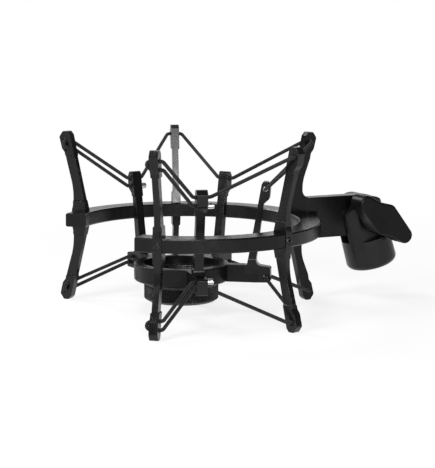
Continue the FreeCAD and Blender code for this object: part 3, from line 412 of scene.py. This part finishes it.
def cord_points(level, pass_hole, end_hole):
    """The route's corners from stop to stop, in mm.  Level is the outer posts' first hole, from the band's
    middle, and each hole of an inner post is its reach and its height."""
    points = []
    second_level = level - math.copysign(HOLE_PITCH, level)

    def through(spot, before, after):
        centre, way = spot
        points.append(centre - way * before)
        points.append(centre + way * after)

    def back_through(spot, before, after):
        centre, way = spot
        points.append(centre + way * before)
        points.append(centre - way * after)

    def outer(angle, reach=HOLE_REACH):
        return hole(angle, reach, BAND_LEVEL + level, BAND_SHIFT)

    def second(angle):
        return hole(angle, HOLE_REACH - HOLE_LEAN, BAND_LEVEL + second_level, BAND_SHIFT)

    back_through(hole(BASKET_TURN + END_STALK, *end_hole), STOP_DEPTH, INNER_CLEAR)
    back_through(second(END_POST), OUTER_CLEAR, LOOP_CLEAR)
    through(outer(END_POST), LOOP_CLEAR, OUTER_CLEAR)
    through(hole(BASKET_TURN + END_STALK, *pass_hole), INNER_CLEAR, INNER_CLEAR)
    through(outer(SIDE_POST), OUTER_CLEAR, OUTER_CLEAR)
    through(hole(BASKET_TURN + SIDE_STALK, *pass_hole), INNER_CLEAR, INNER_CLEAR)
    through(outer(0, ARM_HOLE_REACH), OUTER_CLEAR, OUTER_CLEAR)
    through(hole(BASKET_TURN - SIDE_STALK, *pass_hole), INNER_CLEAR, INNER_CLEAR)
    through(outer(-SIDE_POST), OUTER_CLEAR, OUTER_CLEAR)
    through(hole(BASKET_TURN - END_STALK, *pass_hole), INNER_CLEAR, INNER_CLEAR)
    through(outer(-END_POST), OUTER_CLEAR, LOOP_CLEAR)
    back_through(second(-END_POST), LOOP_CLEAR, OUTER_CLEAR)
    back_through(hole(BASKET_TURN - END_STALK, *end_hole), INNER_CLEAR, STOP_DEPTH)
    return points


def with_straight_points(points):
    """Two more points near each end of every long stretch, where the cord is pulled straight."""
    laid = [points[0]]
    for start, end in zip(points, points[1:]):
        stretch = end - start
        if stretch.length > 2.5 * STRAIGHT_POINT:
            near = stretch.normalized() * STRAIGHT_POINT / 4
            far = stretch.normalized() * STRAIGHT_POINT
            laid += [start + near, start + far, end - far, end - near]
        laid.append(end)
    return laid


# %% The braided cover
cover = Finish("cord_braid", (0.012, 0.012, 0.012), 0.78)
cover.shader.inputs["Sheen Weight"].default_value = 0.08
cover.shader.inputs["Sheen Roughness"].default_value = 0.5
cover.shader.inputs["Specular IOR Level"].default_value = 0.2
along_cord = cover.node("ShaderNodeAttribute", attribute_name="cord_length").outputs["Fac"]
side = cover.node("ShaderNodeAttribute", attribute_name="cord_side").outputs["Vector"]
side_parts = cover.node("ShaderNodeSeparateXYZ")
cover.join(side, side_parts.inputs[0])
turn = cover.math("ARCTAN2", side_parts.outputs["Y"], side_parts.outputs["X"])
YARNS = 8
BRAID_PITCH = 0.0052
around_yarns = cover.math("MULTIPLY", turn, YARNS / (2 * math.pi))
along_yarns = cover.math("MULTIPLY", along_cord, YARNS / BRAID_PITCH)


def yarn(lean):
    """A yarn family's place across itself: 0 at its edges and 1 on its crown, and the yarn's number."""
    place_across = cover.math("ADD" if lean > 0 else "SUBTRACT", around_yarns, along_yarns)
    part = cover.math("FRACT", place_across)
    middle = cover.math("ABSOLUTE", cover.math("SUBTRACT", cover.math("MULTIPLY", part, 2.0), 1.0))
    crown = cover.math("SUBTRACT", 1.0, cover.math("POWER", middle, 2.0))
    return crown, cover.math("FLOOR", place_across)


right_crown, right_number = yarn(1)
left_crown, left_number = yarn(-1)
over = cover.math("PINGPONG", cover.math("ADD", right_number, left_number), 1.0)
under = cover.math("SUBTRACT", 1.0, over)
right_height = cover.math("MULTIPLY", right_crown, over)
left_height = cover.math("MULTIPLY", left_crown, under)
height = cover.math("ADD", right_height, left_height)
# The base colour follows the weave's height. It is darker between the yarns and where a yarn passes under,
# which is painted shade in the braid's creases, and lighter on the crowns. The bump below gives the real
# relief.
cover.join(cover.ramp(height, (0.0030, 0.0030, 0.0030), (0.0130, 0.0130, 0.0130), 0.05, 0.9),
           cover.shader.inputs["Base Color"])
cover.bump(height, 0.00008, 0.9)
CORD_BRAID = cover.material

# %% A tree that sweeps the cord


def new_tree(name, sizes):
    """A Geometry Nodes group with a geometry input and output and one named number for each size."""
    tree = bpy.data.node_groups.new(name, "GeometryNodeTree")
    tree.interface.new_socket("Geometry", in_out="INPUT", socket_type="NodeSocketGeometry")
    tree.interface.new_socket("Geometry", in_out="OUTPUT", socket_type="NodeSocketGeometry")
    for label, kind in sizes.items():
        tree.interface.new_socket(label, in_out="INPUT", socket_type="NodeSocket" + kind)
    return tree, tree.nodes.new("NodeGroupInput"), tree.nodes.new("NodeGroupOutput")


def add(tree, kind, inputs=None, **settings):
    """A node of the tree; each input is given by name as a socket or as a value."""
    made = tree.nodes.new(kind)
    for key, value in settings.items():
        setattr(made, key, value)
    for key, value in (inputs or {}).items():
        if isinstance(value, bpy.types.NodeSocket):
            tree.links.new(value, made.inputs[key])
        else:
            made.inputs[key].default_value = value
    return made


def grown(piece, tree, sizes):
    """Run the tree on the piece with these sizes, and give back the result as a plain mesh object."""
    modifier = piece.modifiers.new(tree.name, "NODES")
    modifier.node_group = tree
    for item in tree.interface.items_tree:
        if item.item_type == "SOCKET" and item.in_out == "INPUT" and item.name in sizes:
            modifier[item.identifier] = sizes[item.name]
    evaluated = piece.evaluated_get(bpy.context.evaluated_depsgraph_get())
    mesh = bpy.data.meshes.new_from_object(evaluated)
    name = piece.name
    bpy.data.objects.remove(piece)
    made = bpy.data.objects.new(name, mesh)
    bpy.context.scene.collection.objects.link(made)
    return made


cord_tree, given, result = new_tree("swept_cord", {"Cord Radius": "Float", "Sides": "Int"})
parameter = add(cord_tree, "GeometryNodeSplineParameter")
path = add(cord_tree, "GeometryNodeCaptureAttribute", {"Geometry": given.outputs["Geometry"]},
           domain="POINT")
path.capture_items.new("FLOAT", "Length")
cord_tree.links.new(parameter.outputs["Length"], path.inputs["Length"])
section = add(cord_tree, "GeometryNodeCurvePrimitiveCircle",
              {"Resolution": given.outputs["Sides"], "Radius": given.outputs["Cord Radius"]}, mode="RADIUS")
section_place = add(cord_tree, "GeometryNodeInputPosition")
round_it = add(cord_tree, "GeometryNodeCaptureAttribute", {"Geometry": section.outputs["Curve"]},
               domain="POINT")
round_it.capture_items.new("VECTOR", "Side")
cord_tree.links.new(section_place.outputs[0], round_it.inputs["Side"])
swept = add(cord_tree, "GeometryNodeCurveToMesh", {
    "Curve": path.outputs["Geometry"],
    "Profile Curve": round_it.outputs["Geometry"],
    "Fill Caps": True,
})
length_kept = add(cord_tree, "GeometryNodeStoreNamedAttribute", {
    "Geometry": swept.outputs["Mesh"],
    "Name": "cord_length",
    "Value": path.outputs["Length"],
}, data_type="FLOAT", domain="POINT")
side_kept = add(cord_tree, "GeometryNodeStoreNamedAttribute", {
    "Geometry": length_kept.outputs["Geometry"],
    "Name": "cord_side",
    "Value": round_it.outputs["Side"],
}, data_type="FLOAT_VECTOR", domain="POINT")
shaded = add(cord_tree, "GeometryNodeSetShadeSmooth", {"Geometry": side_kept.outputs["Geometry"]})
finished = add(cord_tree, "GeometryNodeSetMaterial", {
    "Geometry": shaded.outputs[0],
    "Material": CORD_BRAID,
})
cord_tree.links.new(finished.outputs[0], result.inputs[0])

# %% Both cords


def elastic_cord(name, node, points):
    """One cord swept along the given points, in mm, in place of the construction model's cord node."""
    curve = bpy.data.curves.new(name, "CURVE")
    curve.dimensions = "3D"
    curve.resolution_u = 8
    spline = curve.splines.new("NURBS")
    spline.points.add(len(points) - 1)
    for place, point in zip(spline.points, points):
        place.co = (*(point * MM), 1.0)
    spline.order_u = 3
    spline.use_endpoint_u = True
    line = bpy.data.objects.new(name, curve)
    bpy.context.scene.collection.objects.link(line)
    cord = grown(line, cord_tree, {"Cord Radius": CORD_RADIUS * MM, "Sides": 12})
    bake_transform(cord)
    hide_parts(node)
    print(name, len(cord.data.polygons), "faces")


UPPER_PASS_HOLE, UPPER_END_HOLE = (46.3, 45.8), (45.7, 41.2)
LOWER_PASS_HOLE, LOWER_END_HOLE = (47.0, -2.4), (45.2, 1.2)
upper_route = with_straight_points(cord_points(UPPER_HOLE, UPPER_PASS_HOLE, UPPER_END_HOLE))
lower_route = with_straight_points(cord_points(LOWER_HOLE, LOWER_PASS_HOLE, LOWER_END_HOLE))
elastic_cord("upper_cord_braid", "upper_cord", upper_route)
elastic_cord("lower_cord_braid", "lower_cord", lower_route)

# %% [markdown]
# ## The knurled rim
#
# The ring nut has a diamond knurl round its rim. A knurl is one small pyramid repeated round a cylinder
# in staggered rows, which is a job for instances: the tree lays points round the rim, turns each one
# outwards and puts a four-sided cone on it. Realize Instances makes them plain faces at the end.

# %% Knurl
knurl_tree, given, result = new_tree("diamond_knurl", {
    "Rim Radius": "Float",
    "Around": "Int",
    "Rows": "Int",
    "Row Step": "Float",
    "Lowest Row": "Float",
    "Height": "Float",
    "Half Width": "Float",
})
count = add(knurl_tree, "FunctionNodeIntegerMath", operation="MULTIPLY")
knurl_tree.links.new(given.outputs["Around"], count.inputs[0])
knurl_tree.links.new(given.outputs["Rows"], count.inputs[1])
spots = add(knurl_tree, "GeometryNodePoints", {"Count": count.outputs[0]})


def number(tree, operation, first, second=0.0):
    """A Math node of a Geometry Nodes tree."""
    made = tree.nodes.new("ShaderNodeMath")
    made.operation = operation
    for socket, value in zip(made.inputs, (first, second)):
        if isinstance(value, bpy.types.NodeSocket):
            tree.links.new(value, socket)
        else:
            socket.default_value = value
    return made.outputs[0]


index = add(knurl_tree, "GeometryNodeInputIndex").outputs[0]
row = number(knurl_tree, "FLOOR", number(knurl_tree, "DIVIDE", index, given.outputs["Around"]))
stagger = number(knurl_tree, "MULTIPLY", number(knurl_tree, "MODULO", row, 2.0), 0.5)
step_round = number(knurl_tree, "ADD", number(knurl_tree, "MODULO", index, given.outputs["Around"]), stagger)
steps_in_turns = number(knurl_tree, "MULTIPLY", step_round, 2 * math.pi)
angle = number(knurl_tree, "DIVIDE", steps_in_turns, given.outputs["Around"])
level = number(knurl_tree, "ADD", number(knurl_tree, "MULTIPLY", row, given.outputs["Row Step"]),
               given.outputs["Lowest Row"])
spot = add(knurl_tree, "ShaderNodeCombineXYZ", {
    "X": number(knurl_tree, "MULTIPLY", given.outputs["Rim Radius"], number(knurl_tree, "COSINE", angle)),
    "Y": number(knurl_tree, "MULTIPLY", given.outputs["Rim Radius"], number(knurl_tree, "SINE", angle)),
    "Z": level,
})
placed = add(knurl_tree, "GeometryNodeSetPosition",
             {"Geometry": spots.outputs[0], "Position": spot.outputs[0]})
pyramid = add(knurl_tree, "GeometryNodeMeshCone", {
    "Vertices": 4,
    "Radius Top": 0.0,
    "Radius Bottom": given.outputs["Half Width"],
    "Depth": given.outputs["Height"],
}, fill_type="NONE")
facing = add(knurl_tree, "ShaderNodeCombineXYZ", {"X": 0.0, "Y": QUARTER_TURN, "Z": angle})
pyramids = add(knurl_tree, "GeometryNodeInstanceOnPoints", {
    "Points": placed.outputs[0],
    "Instance": pyramid.outputs["Mesh"],
    "Rotation": facing.outputs[0],
})
real = add(knurl_tree, "GeometryNodeRealizeInstances", {"Geometry": pyramids.outputs[0]})
finished = add(knurl_tree, "GeometryNodeSetMaterial", {"Geometry": real.outputs[0], "Material": NUT_BLACK})
knurl_tree.links.new(finished.outputs[0], result.inputs[0])

NUT_RADIUS = 20.0
NUT_LOW, NUT_HIGH = -16.8, -6.0
RIM_MARGIN = 1.5
KNURL_PITCH = 1.5
KNURL_HEIGHT = 0.6
KNURL_AROUND = round(2 * math.pi * NUT_RADIUS / KNURL_PITCH)
KNURL_ROWS = int((NUT_HIGH - NUT_LOW - 2 * RIM_MARGIN) / (KNURL_PITCH / 2))


def empty_piece(name):
    """A mesh object with nothing in it, for a tree that makes its own geometry."""
    piece = bpy.data.objects.new(name, bpy.data.meshes.new(name))
    bpy.context.scene.collection.objects.link(piece)
    return piece


knurl = grown(empty_piece("nut_knurl"), knurl_tree, {
    "Rim Radius": NUT_RADIUS * MM,
    "Around": KNURL_AROUND,
    "Rows": KNURL_ROWS,
    "Row Step": KNURL_PITCH / 2 * MM,
    "Lowest Row": (NUT_LOW + RIM_MARGIN) * MM,
    "Height": KNURL_HEIGHT * MM,
    "Half Width": KNURL_PITCH / 2 * MM,
})
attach(knurl, "nut")
print("knurl:", KNURL_AROUND, "x", KNURL_ROWS, "diamonds")

# %% [markdown]
# ## Screw threads
#
# Two threads show: the one inside the ring nut, where the microphone screws in, and the one in the bottom
# of the stand adapter. A thread is a ridge with a triangular section that follows a helix, so one tree
# serves both. It grows about the Z axis, and the finished mesh is turned to the adapter's own axis.

# %% Threads
thread_tree, given, result = new_tree("thread_ridge", {
    "Radius": "Float",
    "Turns": "Float",
    "Length": "Float",
    "Depth": "Float",
    "Metal": "Material",
})
helix = add(thread_tree, "GeometryNodeCurveSpiral", {
    "Resolution": 48,
    "Rotations": given.outputs["Turns"],
    "Start Radius": given.outputs["Radius"],
    "End Radius": given.outputs["Radius"],
    "Height": given.outputs["Length"],
})
ridge = add(thread_tree, "GeometryNodeCurvePrimitiveCircle",
            {"Resolution": 3, "Radius": given.outputs["Depth"]}, mode="RADIUS")
thread = add(thread_tree, "GeometryNodeCurveToMesh", {
    "Curve": helix.outputs[0],
    "Profile Curve": ridge.outputs["Curve"],
    "Fill Caps": True,
})
finished = add(thread_tree, "GeometryNodeSetMaterial",
               {"Geometry": thread.outputs[0], "Material": given.outputs["Metal"]})
thread_tree.links.new(finished.outputs[0], result.inputs[0])

MICROPHONE_THREAD = (13.5, 1.0, 15.0)
MICROPHONE_THREAD_TOP = -0.4
STAND_THREAD = (7.95, 0.94, 12.4)
STAND_THREAD_START = 0.6


def thread_ridge(name, sizes, depth, metal):
    """A thread of that radius, pitch and length, in mm, as a plain mesh about the Z axis."""
    radius, pitch, length = sizes
    return grown(empty_piece(name), thread_tree, {
        "Radius": radius * MM,
        "Turns": length / pitch,
        "Length": length * MM,
        "Depth": depth * MM,
        "Metal": metal,
    })


microphone_thread = thread_ridge("microphone_thread", MICROPHONE_THREAD, 0.45, NUT_BLACK)
microphone_thread_foot = Vector((0, 0, MICROPHONE_THREAD_TOP - MICROPHONE_THREAD[2])) * MM
microphone_thread.data.transform(Matrix.Translation(microphone_thread_foot))
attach(microphone_thread, "nut")

mounts = {mount["name"]: mount for mount in frame["record"]["mounts"]}
stand_mouth = Vector(mounts["stand_thread"]["pos_m"])
stand_axis = Vector(mounts["stand_thread"]["axis"])
stand_thread = thread_ridge("stand_thread", STAND_THREAD, 0.42, ADAPTER_BLACK)
inward = (-stand_axis).to_track_quat("Z", "Y").to_matrix().to_4x4()
thread_start = stand_mouth - stand_axis * STAND_THREAD_START * MM
stand_thread.data.transform(Matrix.Translation(thread_start) @ inward)
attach(stand_thread, "adapter")
print("threads:", len(microphone_thread.data.polygons) + len(stand_thread.data.polygons), "faces")

# %% [markdown]
# ## Floor, backdrop and light
#
# The photograph is a plain product shot on white. The floor and the sheet that hangs behind it are plain
# white wherever the camera looks past the object, and they look just as white in a glossy surface; only
# the part of the floor near the object keeps its shadow. The room itself stays dim and the lamps stay at
# a plain level, so that black stays black. One lamp at the left draws the long highlights, one near the
# camera lights the faces that look straight at it, and one behind and one above pick out the edges.

# %% Floor and backdrop
FLOOR_LEVEL = cad_box[0].z
NEAR_FLOOR, FAR_FLOOR = 0.10, 0.45
SHADOW_SHARE = 0.2


def studio_paper(name, shadow_share):
    """White paper; the share of its real shading that is kept fades out away from the middle."""
    paper = Finish(name, (0.86, 0.86, 0.86), 0.7)
    white = paper.node("ShaderNodeEmission")
    rays = paper.node("ShaderNodeLightPath")
    seen = paper.math("MAXIMUM", rays.outputs["Is Camera Ray"], rays.outputs["Is Transmission Ray"])
    seen = paper.math("MAXIMUM", seen, rays.outputs["Is Glossy Ray"])
    place = paper.node("ShaderNodeTexCoord")
    away = paper.node("ShaderNodeVectorMath", operation="LENGTH")
    paper.join(place.outputs["Object"], away.inputs[0])
    plain = paper.range(away.outputs["Value"], 1 - shadow_share, 1.0, NEAR_FLOOR, FAR_FLOOR)
    mixed = paper.node("ShaderNodeMixShader")
    paper.join(paper.math("MULTIPLY", seen, plain), mixed.inputs["Fac"])
    paper.join(paper.shader.outputs[0], mixed.inputs[1])
    paper.join(white.outputs[0], mixed.inputs[2])
    paper.join(mixed.outputs[0], paper.tree.nodes["Material Output"].inputs["Surface"])
    return paper.material


FLOOR_SIZE = 12
bpy.ops.mesh.primitive_plane_add(size=FLOOR_SIZE, location=(0, 0, FLOOR_LEVEL))
floor = bpy.context.object
floor.name = "floor"
floor.data.materials.append(studio_paper("floor_paper", SHADOW_SHARE))

BACKDROP_AWAY = 4.0
BACKDROP_WIDE = 4.0
BACKDROP_TALL = 2.0
behind = -camera_direction()
behind.z = 0
bpy.ops.mesh.primitive_plane_add(size=1)
backdrop = bpy.context.object
backdrop.name = "backdrop"
backdrop.scale = (BACKDROP_WIDE, BACKDROP_TALL, 1)
backdrop.rotation_euler = (QUARTER_TURN, 0, CAMERA_AZIMUTH)
middle = Vector((0, 0, FLOOR_LEVEL + BACKDROP_TALL / 2))
backdrop.location = behind.normalized() * BACKDROP_AWAY + middle
backdrop.data.materials.append(studio_paper("backdrop_paper", 0.0))
print("floor at", round(FLOOR_LEVEL / MM, 1), "mm, backdrop", BACKDROP_AWAY, "m behind")

# %% World and lamps
ROOM_LIGHT = 0.12
world = bpy.data.worlds.new("studio")
bpy.context.scene.world = world
world.use_nodes = True
background = world.node_tree.nodes["Background"]
background.inputs["Color"].default_value = (1, 1, 1, 1)
background.inputs["Strength"].default_value = ROOM_LIGHT


def lamp(name, place, size, power):
    """A square soft lamp that points at the middle of the band."""
    data = bpy.data.lights.new(name, "AREA")
    data.size = size
    data.energy = power
    made = bpy.data.objects.new(name, data)
    bpy.context.scene.collection.objects.link(made)
    made.location = place
    made.rotation_euler = (Vector(place) - LOOK_AT).to_track_quat("Z", "Y").to_euler()


lamp("key", (-0.85, -0.25, 0.45), 0.25, 7)
lamp("front", (-0.20, -0.95, 0.26), 0.26, 7)
lamp("back", (-0.30, 0.75, 0.65), 0.30, 5)
lamp("top", (-0.22, -0.16, 0.95), 0.30, 4)
print("lamps:", len(bpy.data.lights))
